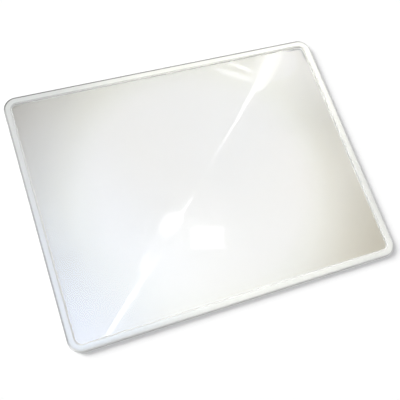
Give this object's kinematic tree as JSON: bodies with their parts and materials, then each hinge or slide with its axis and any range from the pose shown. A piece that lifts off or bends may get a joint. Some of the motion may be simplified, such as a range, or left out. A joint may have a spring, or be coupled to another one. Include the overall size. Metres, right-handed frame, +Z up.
{
  "type": "page magnifier",
  "caption": "Flat rectangular page magnifier: a clear Fresnel lens sheet with fine concentric grooves, held in a narrow clear plastic rim with rounded corners.",
  "frame": {"origin": "middle of the flat underside that the magnifier rests on", "axes": "+X along the long side, +Y along the short side, +Z up out of the smooth face"},
  "size_m": [0.2666, 0.2032, 0.0044],
  "materials": {
    "lens_acrylic": "clear moulded acrylic, polished smooth on top, fine concentric prism grooves underneath",
    "rim_plastic": "clear injection-moulded plastic, glossy, faintly milky",
    "cement": "cured clear cement"
  },
  "bodies": {
    "root": {"fresnel_lens": "lens_acrylic", "front_rim": "rim_plastic", "back_rim": "rim_plastic", "cement_bead": "cement"}
  },
  "joints": []
}
